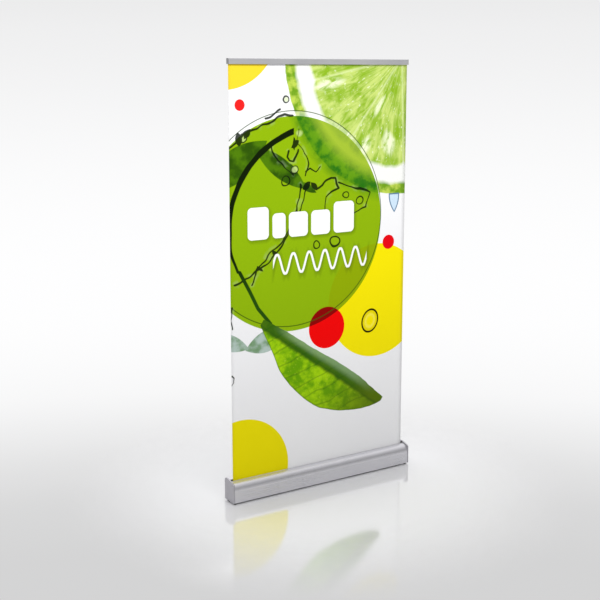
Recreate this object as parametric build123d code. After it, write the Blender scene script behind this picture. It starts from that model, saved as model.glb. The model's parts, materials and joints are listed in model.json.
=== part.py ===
from build123d import *
import math
import os

# Roll-up banner stand: an aluminium cassette with a spring roller, a film sheet, a clamp rail that
# hangs on a telescopic pole behind the sheet, and two swivel feet folded under the cassette.
# Millimetres. X runs along the cassette, -Y is the printed side, Z is up, and the floor is Z = 0.
# The origin is the middle of the footprint, on the floor.

# Driving dimensions
total_height = 2080.0
sheet_width = 1000.0
sheet_thickness = 0.4
base_length = 1040.0
base_depth = 88.0
base_bottom = 6.0
front_face_top = 65.0
slot_lip_height = 103.0
rear_top_height = 109.0
wall = 2.0
end_cap_thickness = 7.0

# Cassette
housing_length = base_length - 2 * end_cap_thickness
housing_end = housing_length / 2
half_depth = base_depth / 2
shoulder_radius = 35.0
shoulder_step = 0.8
shoulder_y = shoulder_radius + shoulder_step - half_depth
shoulder_z = slot_lip_height - shoulder_radius
slot_half = 3.5
port_radius = 4.0
port_bore = 2.0
front_port_angle = 140.0
port_sink = 0.5
front_port_reach = shoulder_radius - wall - port_radius + port_sink
floor_level = base_bottom + wall
fit_gap = 0.1
cap_proud = 0.6
cap_screw_head = 4.2
cap_screw_depth = 2.6

# Roller
film_radius = 17.5
roller_y = -film_radius
roller_z = 50.0
roller_end = sheet_width / 2 + 2
tube_outer = 16.0
tube_inner = 14.6
flange_radius = 20.0
flange_thickness = 3.0
plug_length = 32.0
bush_outer = 6.0
bush_inset = 10.0
axle_radius = 4.0
axle_bearing = 4.0
running_gap = 0.05
arbor_square = 5.6
spring_start = -458.0
spring_end = -268.0
anchor_length = 10.0

# Pole
pole_y = 26.0
socket_outer = 12.5
lower_outer = 9.5
middle_outer = 8.0
upper_outer = 6.5
tube_wall = 1.0
lower_top = 735.0
middle_bottom = 684.0
middle_top = 1400.0
upper_bottom = 1350.0
upper_top = 2036.0
lower_bottom = 10.0
collet_gap = 0.3
socket_flange_top = rear_top_height + 2.5
socket_screw_places = (-19.0, 19.0)
socket_screw_radius = 1.5
hook_pin_radius = 1.5
hook_pin_drop = 9.0

# Top rail
rail_height = 26.0
rail_bottom = total_height - rail_height
rail_front = -8.4
rail_back = 9.0
rail_half = 500.5
rail_cap_thickness = 3.0
hinge_y = -3.0
bead_radius = 2.0
socket_radius = 3.7
hinge_z = total_height - socket_radius
jaw_thickness = 1.4
sheet_gap = 0.1
lip_back = -1.4
lip_height = 7.0

# Feet
foot_pivot_x = 330.0
foot_length = 330.0
foot_width = 32.0
foot_bottom = 1.5
foot_top = 5.5
pivot_radius = 3.95
pivot_head = 7.0
pivot_hole = 4.1
corner_pad_x = 505.0
corner_pad_y = 32.0


def along_x(section, start, end):
    """Carry a section drawn in Y and Z from one X to another."""
    return extrude(Plane.YZ.offset(start) * section, amount=end - start)


def block(x0, x1, y0, y1, z0, z1):
    """A box between two corners."""
    centre = Pos((x0 + x1) / 2, (y0 + y1) / 2, (z0 + z1) / 2)
    return centre * Box(x1 - x0, y1 - y0, z1 - z0)


def panel(y0, y1, z0, z1):
    """A rectangle of a Y, Z section."""
    return Pos((y0 + y1) / 2, (z0 + z1) / 2) * Rectangle(y1 - y0, z1 - z0)


def upright(radius, x, y, z0, z1):
    """A vertical cylinder."""
    return Pos(x, y, z0) * Cylinder(radius, z1 - z0, align=(Align.CENTER, Align.CENTER, Align.MIN))


def level(radius, x0, x1, y, z):
    """A cylinder along X."""
    return along_x(Pos(y, z) * Circle(radius), x0, x1)


def round_corners(section, corners):
    """Round the corners of a section, each given as (y, z, radius)."""
    for y, z, radius in corners:
        corner = section.vertices().sort_by_distance((y, z, 0))[0]
        section = fillet(corner, radius)
    return section


def mirrored(shape):
    """The same shape on the other end of the stand."""
    return mirror(shape, about=Plane.YZ)


def housing_outline():
    """Outside of the extrusion: flat face, small step, quarter-round shoulder, raised rear top."""
    ledge = front_face_top + shoulder_step
    rear_rise_y = 8.0
    rear_flat_y = 10.0
    foot_radius = 2.5
    back_radius = 4.0
    rise_radius = 1.6
    inner_front = shoulder_step - half_depth
    edges = Polyline(
        (inner_front, shoulder_z),
        (inner_front, ledge),
        (-half_depth, front_face_top),
        (-half_depth, base_bottom),
        (half_depth, base_bottom),
        (half_depth, rear_top_height),
        (rear_flat_y, rear_top_height),
        (rear_rise_y, slot_lip_height),
        (shoulder_y, slot_lip_height),
    )
    shoulder = CenterArc((shoulder_y, shoulder_z), shoulder_radius, 90, 90)
    outline = make_face(edges.edges() + shoulder.edges())
    corners = [
        (-half_depth, base_bottom, foot_radius),
        (half_depth, base_bottom, foot_radius),
        (half_depth, rear_top_height, back_radius),
        (rear_flat_y, rear_top_height, rise_radius),
        (rear_rise_y, slot_lip_height, rise_radius),
    ]
    return round_corners(outline, corners)


def hollow_outline():
    """Inside of the extrusion, one wall in from its outside."""
    inner_half = half_depth - wall
    inner_radius = shoulder_radius - wall
    rear_top = rear_top_height - wall
    lip_bottom = slot_lip_height - wall
    rear_rise_y = 9.4
    back_radius = 2.0
    edges = Polyline(
        (shoulder_step - inner_half, shoulder_z),
        (shoulder_step - inner_half, floor_level),
        (inner_half, floor_level),
        (inner_half, rear_top),
        (rear_rise_y + wall, rear_top),
        (rear_rise_y, lip_bottom),
        (shoulder_y, lip_bottom),
    )
    shoulder = CenterArc((shoulder_y, shoulder_z), inner_radius, 90, 90)
    outline = make_face(edges.edges() + shoulder.edges())
    return round_corners(outline, [(inner_half, rear_top, back_radius)])


def screw_ports():
    """Where the end cap screws go, as (y, z)."""
    angle = math.radians(front_port_angle)
    side = half_depth - wall - port_radius + port_sink
    front_top_y = shoulder_y + front_port_reach * math.cos(angle)
    front_top_z = shoulder_z + front_port_reach * math.sin(angle)
    low = floor_level + port_radius - port_sink
    high = rear_top_height - wall - port_radius + port_sink
    return [(-side, low), (side, low), (side, high), (front_top_y, front_top_z)]


def base_housing():
    cut = 8.0
    section = housing_outline() - hollow_outline()
    for y, z in screw_ports():
        section += Pos(y, z) * Circle(port_radius)
    for y, z in screw_ports():
        section -= Pos(y, z) * Circle(port_bore)
    section -= panel(-slot_half, slot_half, slot_lip_height - cut, slot_lip_height + cut)
    housing = along_x(section, -housing_end, housing_end)
    # The socket's hole also relieves the two rear screw ports where it passes them.
    housing -= upright(socket_outer + 3 * fit_gap, 0, pole_y, floor_level, rear_top_height + cut)
    for x in (-foot_pivot_x, foot_pivot_x):
        housing -= upright(pivot_hole, x, 0, 0, floor_level + cut)
    for x in socket_screw_places:
        housing -= upright(socket_screw_radius, x, pole_y, rear_top_height - cut, rear_top_height + cut)
    return housing


def front_slot_strip():
    """A soft U-shaped strip pushed over the front lip of the slot."""
    cover = 1.0
    grip = 3.0
    tip = slot_half - 1.2
    low = slot_lip_height - wall
    section = panel(-slot_half - grip, -tip, low - cover, slot_lip_height + cover)
    section -= panel(-slot_half - grip, -slot_half, low, slot_lip_height)
    return along_x(section, -housing_end, housing_end)


def rear_wiper_strip():
    """A felt strip on the rear lip, hooked over its edge, that wipes the sheet as it winds in."""
    pile_front = 1.2
    pile_back = 6.0
    cover = 1.0
    section = panel(pile_front, pile_back, slot_lip_height, rear_top_height)
    section += panel(slot_half - cover, slot_half, slot_lip_height - wall - cover, slot_lip_height)
    return along_x(section, -housing_end, housing_end)


def end_cap_outline():
    """A little taller than the extrusion, with a squarer front and a gently arched top."""
    front = -half_depth - cap_proud
    back = half_depth + cap_proud
    corners = [  # y, z and the radius that rounds it
        (front, base_bottom, 3),
        (front, 98, 7),
        (-28, 105, 20),
        (8, 113, 24),
        (36, 113, 8),
        (back, 105, 6),
        (back, base_bottom, 3),
    ]
    section = make_face(Polyline(*[(y, z) for y, z, radius in corners], close=True))
    return round_corners(section, corners)


def end_cap(recess):
    """Right-hand cap: plate, locating rim inside the housing, and the boss that holds the roller."""
    inside = housing_end
    outside = base_length / 2
    rim_length = 8.0
    rim_gap = 0.4
    rim_wall = 2.0
    slot_relief = 12.0
    boss_radius = 9.0
    boss_length = 7.0
    cap = along_x(end_cap_outline(), inside, outside)
    outer_edge = cap.faces().sort_by(Axis.X)[-1].edges()
    cap = chamfer(outer_edge, 0.8)
    rim = offset(hollow_outline(), amount=-rim_gap) - offset(hollow_outline(), amount=-rim_gap - rim_wall)
    rim -= panel(-slot_relief, slot_relief, slot_lip_height - slot_relief, rear_top_height)
    for y, z in screw_ports():
        rim -= Pos(y, z) * Circle(port_radius + rim_gap)
    cap += along_x(rim, inside - rim_length, inside)
    cap += level(boss_radius, inside - boss_length, inside, roller_y, roller_z)
    cap -= along_x(Pos(roller_y, roller_z) * recess, inside - rim_length, inside + axle_bearing)
    for y, z in screw_ports():
        cap -= level(port_bore + 2 * fit_gap, inside, outside, y, z)
        cap -= level(cap_screw_head, outside - cap_screw_depth, outside, y, z)
    return cap


def end_cap_screws():
    """Pan-head screws, four in each cap."""
    outside = base_length / 2
    seat = outside - cap_screw_depth
    head_top = outside - 0.4
    shank_length = 20.0
    driver_width = 0.9
    driver_depth = 1.0
    screws = []
    for y, z in screw_ports():
        head = level(cap_screw_head - 3 * fit_gap, seat, head_top, y, z)
        shank = level(port_bore - running_gap, seat - shank_length, seat, y, z)
        slit = Pos(y, z) * Rectangle(cap_screw_head, driver_width)
        driver = along_x(slit, head_top - driver_depth, outside)
        screw = head + shank - driver
        screws += [screw, mirrored(screw)]
    return screws


def roller_tube():
    outer = level(tube_outer, -roller_end, roller_end, roller_y, roller_z)
    return outer - level(tube_inner, -roller_end, roller_end, roller_y, roller_z)


def wound_film():
    """The turns of leader film that stay on the tube when the sheet is fully out."""
    half = sheet_width / 2
    outer = level(film_radius, -half, half, roller_y, roller_z)
    return outer - level(tube_outer + running_gap, -half, half, roller_y, roller_z)


def roller_plug():
    """Right-hand plug, with a flange that keeps the film straight."""
    inner_end = roller_end - plug_length
    outer_end = roller_end + flange_thickness
    plug = level(tube_inner - running_gap, inner_end, roller_end, roller_y, roller_z)
    plug += level(flange_radius, roller_end, outer_end, roller_y, roller_z)
    return plug - level(bush_outer, inner_end, outer_end, roller_y, roller_z)


def roller_bushes():
    inner_end = roller_end - plug_length + bush_inset
    outer_end = roller_end + flange_thickness
    bush = level(bush_outer, inner_end, outer_end, roller_y, roller_z)
    bush -= level(axle_radius + running_gap, inner_end, outer_end, roller_y, roller_z)
    return [bush, mirrored(bush)]


def spring_arbor():
    """Fixed rod inside the roller. Its square end sits in the left cap, so it can't turn."""
    past_anchor = 3.0
    rod_start = -roller_end - flange_thickness
    rod_end = spring_end + anchor_length + past_anchor
    rod = level(axle_radius, rod_start, rod_end, roller_y, roller_z)
    square = Pos(roller_y, roller_z) * Rectangle(arbor_square, arbor_square)
    return rod + along_x(square, -housing_end - axle_bearing, rod_start)


def torsion_spring():
    """Wire coil between the left plug and the anchor on the arbor."""
    wire_radius = 1.1
    coil_radius = 9.0
    pitch = 8.0
    turns = 23
    path = Helix(pitch, pitch * turns, coil_radius)
    start = Plane(origin=path @ 0, z_dir=path % 0)
    coil = sweep(start * Circle(wire_radius), path, is_frenet=True)
    return Pos(spring_start, roller_y, roller_z) * Rot(0, 90, 0) * coil


def spring_anchor():
    anchor_radius = 13.0
    anchor_end = spring_end + anchor_length
    disc = level(anchor_radius, spring_end, anchor_end, roller_y, roller_z)
    return disc - level(axle_radius, spring_end, anchor_end, roller_y, roller_z)


def idle_axle():
    inner_end = roller_end - plug_length + axle_bearing
    return level(axle_radius, inner_end, housing_end + axle_bearing, roller_y, roller_z)


def banner_sheet():
    """Straight from the rear of the roll, through the slot, into the rail."""
    half = sheet_width / 2
    thick = sheet_thickness / 2
    roll_overlap = 8.0
    rail_depth = 12.0
    return block(-half, half, -thick, thick, roller_z + roll_overlap, total_height - rail_depth)


def tube(outer, z0, z1):
    return upright(outer, 0, pole_y, z0, z1) - upright(outer - tube_wall, 0, pole_y, z0, z1)


def ring(outer, inner, z0, z1):
    return upright(outer, 0, pole_y, z0, z1) - upright(inner, 0, pole_y, z0, z1)


def end_bush(tube_outer_radius, guide_radius, tube_end, below, above):
    """Plug in the lower end of a tube; its wide part guides the tube inside the next one."""
    stub_radius = tube_outer_radius - tube_wall - running_gap
    wide = upright(guide_radius, 0, pole_y, tube_end - below, tube_end)
    return wide + upright(stub_radius, 0, pole_y, tube_end, tube_end + above)


def pole_socket():
    """Sleeve through the rear top of the housing, with an oblong flange on top."""
    flange_length = 50.0
    flange_width = 26.0
    flange = Pos(0, pole_y, rear_top_height) * SlotOverall(flange_length, flange_width)
    socket = upright(socket_outer, 0, pole_y, floor_level, rear_top_height)
    socket += extrude(flange, amount=socket_flange_top - rear_top_height)
    socket -= upright(lower_outer + running_gap, 0, pole_y, floor_level, socket_flange_top)
    for x in socket_screw_places:
        hole = socket_screw_radius + fit_gap
        socket -= upright(hole, x, pole_y, rear_top_height, socket_flange_top)
    return socket


def socket_screws():
    head_radius = 2.8
    head_height = 1.6
    shank_length = 12.0
    seat = socket_flange_top
    screws = []
    for x in socket_screw_places:
        screw = upright(head_radius, x, pole_y, seat, seat + head_height)
        screw += upright(socket_screw_radius - running_gap, x, pole_y, seat - shank_length, seat)
        screws.append(screw)
    return screws


def lock_collar(outer, inner, lip_inner, z0, z1):
    """Twist-lock collar with finger flutes; its lip closes over the collet below it."""
    flutes = 12
    flute_radius = 1.8
    flute_reach = outer + 1.0
    lip_thickness = 3.0
    collar = ring(outer, inner, z0, z1)
    collar += ring(outer, lip_inner, z1, z1 + lip_thickness)
    rims = collar.edges().filter_by(GeomType.CIRCLE).filter_by(lambda e: e.radius > outer - 0.01)
    collar = chamfer(rims, 0.8)
    for index in range(flutes):
        turn = 2 * math.pi * index / flutes
        x = flute_reach * math.cos(turn)
        y = pole_y + flute_reach * math.sin(turn)
        collar -= upright(flute_radius, x, y, z0 + 5, z1 - 2)
    return collar


def collet(outer, inner, z0, z1):
    """Split ring that the collar squeezes on the inner tube."""
    half_split = 0.5
    return ring(outer, inner, z0, z1) - block(-half_split, half_split, pole_y, pole_y + outer, z0, z1)


def pole_top_hook():
    """Head of the pole: an arm forward under the rail and a finger up into the rail's channel."""
    head_radius = 8.0
    head_bottom = upper_top
    head_top = upper_top + 14
    arm_bottom = head_bottom + 3
    finger_top = total_height - 8
    finger_front = 2.3
    finger_back = 7.0
    half = 10.0
    web_half = 2.0
    stub_length = 18.0
    stub_radius = upper_outer - tube_wall - running_gap
    head = upright(head_radius, 0, pole_y, head_bottom, head_top)
    arm = block(-half, half, finger_front, pole_y, arm_bottom, head_top)
    finger = block(-half, half, finger_front, finger_back, arm_bottom, finger_top)
    finger = chamfer(finger.faces().sort_by(Axis.Z)[-1].edges(), 0.8)
    web = block(-web_half, web_half, finger_front, pole_y, head_bottom, arm_bottom)
    hook = head + arm + finger + web
    hook += upright(stub_radius, 0, pole_y, head_bottom - stub_length, head_bottom)
    return hook - level(hook_pin_radius, -half, half, pole_y, head_bottom - hook_pin_drop)


def hook_pin():
    """Cross pin that keeps the hook in the upper tube."""
    return level(hook_pin_radius, -upper_outer, upper_outer, pole_y, upper_top - hook_pin_drop)


def pole_upper_tube():
    hole = level(hook_pin_radius, -upper_outer, upper_outer, pole_y, upper_top - hook_pin_drop)
    return tube(upper_outer, upper_bottom, upper_top) - hole


def from_hinge(angle, reach):
    """A point of the rail section, by its angle from straight down towards the front."""
    turn = math.radians(angle)
    return (hinge_y - reach * math.sin(turn), hinge_z - reach * math.cos(turn))


def wedge(start, end, reach=9.0):
    """A sector about the hinge, between two angles."""
    middle = (start + end) / 2
    points = [(hinge_y, hinge_z), from_hinge(start, reach), from_hinge(middle, reach * 1.2)]
    return make_face(Polyline(*points, from_hinge(end, reach), close=True))


def rail_body():
    """Rear half of the rail: hinge socket, clamping web, and the channel for the pole's finger."""
    skin = 1.5
    mouth = (5, 120)
    back_radius = 1.2
    web_front = sheet_thickness / 2 + sheet_gap
    section = Pos(hinge_y, hinge_z) * Circle(socket_radius)
    section -= wedge(*mouth)
    section += panel(hinge_y, rail_back, total_height - skin, total_height)
    section += panel(web_front, web_front + skin, rail_bottom + 1, total_height - skin)
    section += panel(rail_back - skin, rail_back, rail_bottom + 4, total_height)
    section -= Pos(hinge_y, hinge_z) * Circle(bead_radius + running_gap)
    section = round_corners(section, [(rail_back, total_height, back_radius)])
    return along_x(section, -rail_half, rail_half)


def rail_jaw():
    """Front half of the rail: it swings up about its bead and clamps the sheet when shut."""
    lip_thickness = 1.2
    corner_radius = 1.2
    shell_span = (88, 122)
    neck_angle = 35
    neck_reach = 7.4
    neck_radius = 0.8
    plate_back = rail_front + jaw_thickness
    shell_inner = hinge_y - plate_back
    shell_outer = hinge_y - rail_front
    half = sheet_width / 2
    shell = Pos(hinge_y, hinge_z) * (Circle(shell_outer) - Circle(shell_inner))
    shell = shell & wedge(*shell_span)
    neck_start = Pos(*from_hinge(neck_angle, 0)) * Circle(neck_radius)
    neck_end = Pos(*from_hinge(neck_angle, neck_reach)) * Circle(neck_radius)
    neck = make_hull(neck_start.edges() + neck_end.edges())
    section = Pos(hinge_y, hinge_z) * Circle(bead_radius)
    section += neck
    section += panel(rail_front, plate_back, rail_bottom, hinge_z)
    section += shell
    section += panel(rail_front, lip_back, rail_bottom, rail_bottom + jaw_thickness)
    section += panel(lip_back - lip_thickness, lip_back, rail_bottom, rail_bottom + lip_height)
    section = round_corners(section, [(rail_front, rail_bottom, corner_radius)])
    return along_x(section, -half, half)


def rail_grip_strip():
    """Rubber strip on the jaw's lip, facing the sheet."""
    back = -sheet_thickness / 2 - sheet_gap
    half = sheet_width / 2
    return along_x(panel(lip_back, back, rail_bottom + 1, rail_bottom + lip_height), -half, half)


def rail_end_cap():
    """Right-hand cap of the rail, with a stub in the channel."""
    small_radius = 1.5
    front_radius = 3.0
    stub_length = 12.0
    stub_front = 2.2
    stub_back = 7.1
    section = panel(rail_front, rail_back, rail_bottom, total_height)
    corners = [(rail_front, rail_bottom, small_radius), (rail_back, rail_bottom, small_radius)]
    corners += [(rail_front, total_height, front_radius), (rail_back, total_height, small_radius)]
    section = round_corners(section, corners)
    cap = along_x(section, rail_half, rail_half + rail_cap_thickness)
    cap = chamfer(cap.faces().sort_by(Axis.X)[-1].edges(), 0.6)
    stub_start = rail_half - stub_length
    return cap + block(stub_start, rail_half, stub_front, stub_back, rail_bottom + 6, total_height - 2)


def foot_bar(x):
    """Flat bar that swivels out from under the cassette, recessed below for the bolt's head."""
    recess_depth = 2.3
    outline = Pos(x, 0, foot_bottom) * SlotOverall(foot_length, foot_width)
    bar = extrude(outline, amount=foot_top - foot_bottom)
    top_and_bottom = bar.faces().filter_by(Axis.Z).edges()
    bar = chamfer(top_and_bottom, 0.5)
    bar -= upright(pivot_head + 3 * fit_gap, x, 0, foot_bottom, foot_bottom + recess_depth)
    return bar - upright(pivot_radius + running_gap, x, 0, foot_bottom, foot_top)


def foot_pads(x):
    pad_radius = 11.0
    pad_inset = 27.0
    reach = foot_length / 2 - pad_inset
    return [upright(pad_radius, x + side * reach, 0, 0, foot_bottom) for side in (-1, 1)]


def foot_pivot_bolts():
    head_bottom = foot_bottom + 0.2
    head_top = foot_bottom + 2.2
    shank_top = floor_level + 7
    hex_radius = 2.5
    hex_depth = 1.4
    bolts = []
    for x in (-foot_pivot_x, foot_pivot_x):
        bolt = upright(pivot_head, x, 0, head_bottom, head_top)
        bolt += upright(pivot_radius, x, 0, head_top, shank_top)
        bolt -= extrude(Pos(x, 0, foot_bottom) * RegularPolygon(hex_radius, 6), amount=hex_depth)
        bolts.append(bolt)
    return bolts


def foot_pivot_nuts():
    nut_radius = 7.5
    nut_height = 5.5
    nuts = []
    for x in (-foot_pivot_x, foot_pivot_x):
        nut = extrude(Pos(x, 0, floor_level) * RegularPolygon(nut_radius, 6), amount=nut_height)
        nuts.append(nut - upright(pivot_radius, x, 0, floor_level, floor_level + nut_height))
    return nuts


def foot_washers():
    washer_radius = 14.0
    washers = []
    for x in (-foot_pivot_x, foot_pivot_x):
        washer = upright(washer_radius, x, 0, foot_top, base_bottom)
        washers.append(washer - upright(pivot_hole, x, 0, foot_top, base_bottom))
    return washers


def corner_pads():
    pad_radius = 7.5
    pads = []
    for x in (-corner_pad_x, corner_pad_x):
        for y in (-corner_pad_y, corner_pad_y):
            pads.append(upright(pad_radius, x, y, 0, base_bottom))
    return pads


lower_bore = lower_outer - tube_wall
middle_bore = middle_outer - tube_wall

right_recess = Circle(axle_radius)
left_recess = Rectangle(arbor_square + fit_gap, arbor_square + fit_gap)
lower_collet_top = lower_top + 15
upper_collet_top = middle_top + 14
right_plug = roller_plug()
right_rail_cap = rail_end_cap()

nodes = {
    "base_housing": base_housing(),
    "front_slot_strip": front_slot_strip(),
    "rear_wiper_strip": rear_wiper_strip(),
    "left_end_cap": mirrored(end_cap(left_recess)),
    "right_end_cap": end_cap(right_recess),
    "end_cap_screws": end_cap_screws(),
    "corner_pads": corner_pads(),
    "foot_pivot_bolts": foot_pivot_bolts(),
    "foot_pivot_nuts": foot_pivot_nuts(),
    "foot_washers": foot_washers(),
    "foot_bar_left": foot_bar(-foot_pivot_x),
    "foot_bar_right": foot_bar(foot_pivot_x),
    "foot_pads_left": foot_pads(-foot_pivot_x),
    "foot_pads_right": foot_pads(foot_pivot_x),
    "roller_tube": roller_tube(),
    "wound_film": wound_film(),
    "roller_plug_left": mirrored(right_plug),
    "roller_plug_right": right_plug,
    "roller_bushes": roller_bushes(),
    "spring_arbor": spring_arbor(),
    "torsion_spring": torsion_spring(),
    "spring_anchor": spring_anchor(),
    "idle_axle": idle_axle(),
    "banner_sheet": banner_sheet(),
    "pole_socket": pole_socket(),
    "socket_screws": socket_screws(),
    "pole_lower_tube": tube(lower_outer, lower_bottom, lower_top),
    "pole_foot_plug": end_bush(lower_outer, lower_outer - fit_gap, lower_bottom, 1.8, 12),
    "lower_collet": collet(
        lower_outer - fit_gap, middle_outer + running_gap, lower_top, lower_collet_top
    ),
    "lower_lock_collar": lock_collar(
        13.0, lower_outer + running_gap, middle_outer + collet_gap, lower_top - 22, lower_collet_top + 1
    ),
    "pole_middle_tube": tube(middle_outer, middle_bottom, middle_top),
    "middle_slider_bush": end_bush(middle_outer, lower_bore - running_gap, middle_bottom, 12, 10),
    "upper_collet": collet(
        middle_outer - fit_gap, upper_outer + running_gap, middle_top, upper_collet_top
    ),
    "upper_lock_collar": lock_collar(
        11.5, middle_outer + running_gap, upper_outer + collet_gap, middle_top - 20, upper_collet_top + 1
    ),
    "pole_upper_tube": pole_upper_tube(),
    "upper_slider_bush": end_bush(upper_outer, middle_bore - running_gap, upper_bottom, 10, 10),
    "pole_top_hook": pole_top_hook(),
    "hook_pin": hook_pin(),
    "rail_body": rail_body(),
    "rail_jaw": rail_jaw(),
    "rail_grip_strip": rail_grip_strip(),
    "rail_end_cap_left": mirrored(right_rail_cap),
    "rail_end_cap_right": right_rail_cap,
}

os.makedirs("parts", exist_ok=True)
for name, shape in nodes.items():
    if isinstance(shape, list):
        shape = Compound(children=[piece.solid() for piece in shape])
    shape.label = name
    export_step(shape, f"parts/{name}.step")
    print(name, round(shape.volume))
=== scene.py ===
import json
import math
import bpy
import numpy as np
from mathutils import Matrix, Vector


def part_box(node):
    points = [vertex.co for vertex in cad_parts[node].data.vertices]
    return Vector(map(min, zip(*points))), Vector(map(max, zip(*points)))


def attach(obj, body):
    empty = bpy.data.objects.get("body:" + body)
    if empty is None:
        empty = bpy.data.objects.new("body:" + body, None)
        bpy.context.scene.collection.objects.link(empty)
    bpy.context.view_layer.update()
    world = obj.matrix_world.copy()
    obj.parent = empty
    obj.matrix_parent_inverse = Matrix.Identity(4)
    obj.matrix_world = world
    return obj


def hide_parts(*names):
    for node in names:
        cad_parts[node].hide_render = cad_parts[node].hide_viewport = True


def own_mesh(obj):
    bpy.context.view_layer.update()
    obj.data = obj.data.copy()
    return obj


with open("model.json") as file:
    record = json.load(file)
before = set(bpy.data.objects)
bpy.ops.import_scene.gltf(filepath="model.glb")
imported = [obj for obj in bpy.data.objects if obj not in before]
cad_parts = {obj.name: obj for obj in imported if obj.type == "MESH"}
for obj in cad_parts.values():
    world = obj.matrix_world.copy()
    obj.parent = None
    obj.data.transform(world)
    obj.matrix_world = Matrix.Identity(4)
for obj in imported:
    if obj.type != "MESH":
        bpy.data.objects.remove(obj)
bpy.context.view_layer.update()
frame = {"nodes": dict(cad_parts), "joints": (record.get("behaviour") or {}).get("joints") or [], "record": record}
nodes = frame["nodes"]

studio = {
    "cameraPlace": (-2.805, -4.267, 2.016),
    "turn": 32.16,        # degrees to the right of straight ahead
    "tilt": 10.43,        # degrees down
    "lens": 64.3,
    "shiftY": -0.05,
    "farthest": 200,      # the camera sees this far
    "skyBlue": 1.005,     # the sky's blue, against its red and green
    "sky": [              # height of the direction, from -1 to 1, and its brightness
        (-1.0, 0.62), (-0.42, 0.66), (-0.38, 0.69), (-0.36, 0.73), (-0.33, 0.81), (-0.29, 0.95),
        (-0.22, 1.0), (-0.09, 0.985), (0.04, 0.85), (0.11, 0.80), (0.24, 0.90), (0.32, 0.82),
        (0.38, 0.67), (0.46, 0.66), (0.7, 1.0), (1.0, 1.05),
    ],
    "skyTurn": (0.1, -0.5),  # the direction's y where the viewer's side begins, and where it is full
    "frontSky": [         # brightness on the viewer's side
        (-1.0, 0.74), (-0.15, 0.76), (0.0, 0.70), (0.12, 0.56), (0.45, 0.48), (0.62, 0.70), (0.8, 0.95),
        (1.0, 0.95),
    ],
    "frontGloss": [       # what polished metal reflects there: a dark card between horizon and lamps
        (-1.0, 0.78), (-0.24, 0.80), (-0.08, 0.34), (0.05, 0.20), (0.36, 0.30), (0.57, 0.46), (0.8, 0.72),
        (1.0, 1.05),
    ],
    "lamps": [            # name, place, aim, width, height, watts, and whether polished metal shows it
        ("frontTop", (-0.7, -2.0, 3.9), (0.0, 0.0, 1.10), 2.4, 1.0, 80, False),
        ("overhead", (0.0, 0.8, 4.2), (0.0, 0.2, 0.0), 3.0, 1.6, 14, True),
        ("floorBehind", (0.8, 3.6, 3.2), (0.8, 3.4, 0.0), 4.5, 3.0, 50, True),
    ],
}


def placeCamera(s):
    turn, tilt = math.radians(s["turn"]), math.radians(s["tilt"])
    ahead = Vector((math.sin(turn) * math.cos(tilt), math.cos(turn) * math.cos(tilt), -math.sin(tilt)))
    camera = bpy.data.objects.new("camera", bpy.data.cameras.new("camera"))
    bpy.context.scene.collection.objects.link(camera)
    camera.data.lens = s["lens"]
    camera.data.sensor_width = 36
    camera.data.shift_y = s["shiftY"]
    camera.data.clip_end = s["farthest"]
    camera.location = s["cameraPlace"]
    camera.rotation_mode = "QUATERNION"
    camera.rotation_quaternion = ahead.to_track_quat("-Z", "Y")
    bpy.context.scene.camera = camera


def hangLamp(name, place, aim, width, height, watts, inGloss):
    lamp = bpy.data.lights.new(name, "AREA")
    lamp.shape = "RECTANGLE"
    lamp.size, lamp.size_y = width, height
    lamp.energy = watts
    holder = bpy.data.objects.new(name, lamp)
    holder.location = place
    holder.visible_camera = False
    holder.visible_glossy = inGloss
    holder.rotation_mode = "QUATERNION"
    holder.rotation_quaternion = (Vector(aim) - Vector(place)).to_track_quat("-Z", "Y")
    bpy.context.scene.collection.objects.link(holder)


def skyRamp(tree, steps, height, blue):
    ramp = tree.nodes.new("ShaderNodeValToRGB")
    ramp.color_ramp.interpolation = "B_SPLINE"
    stops = ramp.color_ramp.elements
    while len(stops) < len(steps):
        stops.new(0.5)
    for stop, (at, bright) in zip(stops, steps):
        stop.position = (at + 1) / 2
        stop.color = (bright, bright, bright * blue, 1)
    tree.links.new(height, ramp.inputs[0])
    return ramp.outputs[0]


def mixedColours(tree, share, first, second):
    node = tree.nodes.new("ShaderNodeMix")
    node.data_type = "RGBA"
    for place, source in ((0, share), (6, first), (7, second)):
        tree.links.new(source, node.inputs[place])
    return node.outputs[2]


# Brightness follows how high a direction points, by one ramp behind the stand and two on the viewer's side.
def lightSky(s):
    world = bpy.data.worlds.new("studioSky")
    bpy.context.scene.world = world
    world.use_nodes = True
    tree = world.node_tree
    coords = tree.nodes.new("ShaderNodeTexCoord")
    parts = tree.nodes.new("ShaderNodeSeparateXYZ")
    tree.links.new(coords.outputs["Generated"], parts.inputs[0])
    height = tree.nodes.new("ShaderNodeMapRange")
    height.inputs["From Min"].default_value = -1
    tree.links.new(parts.outputs["Z"], height.inputs["Value"])
    facing = tree.nodes.new("ShaderNodeMapRange")
    facing.inputs["From Min"].default_value, facing.inputs["From Max"].default_value = s["skyTurn"]
    tree.links.new(parts.outputs["Y"], facing.inputs["Value"])
    ray = tree.nodes.new("ShaderNodeLightPath")
    behind, front, gloss = (skyRamp(tree, s[name], height.outputs["Result"], s["skyBlue"])
                            for name in ("sky", "frontSky", "frontGloss"))
    viewerSide = mixedColours(tree, ray.outputs["Is Glossy Ray"], front, gloss)
    both = mixedColours(tree, facing.outputs["Result"], behind, viewerSide)
    tree.links.new(both, tree.nodes["Background"].inputs["Color"])


placeCamera(studio)
for lamp in studio["lamps"]:
    hangLamp(*lamp)
lightSky(studio)
view = bpy.context.scene.view_settings
view.view_transform = "Standard"
view.look = "None"
print("camera and", len(studio["lamps"]), "lamps placed")


def feed(tree, place, value):  # a number is set on the socket, a field is linked to it
    if isinstance(value, Field):
        tree.links.new(value.socket, place)
    else:
        place.default_value = value


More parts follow.
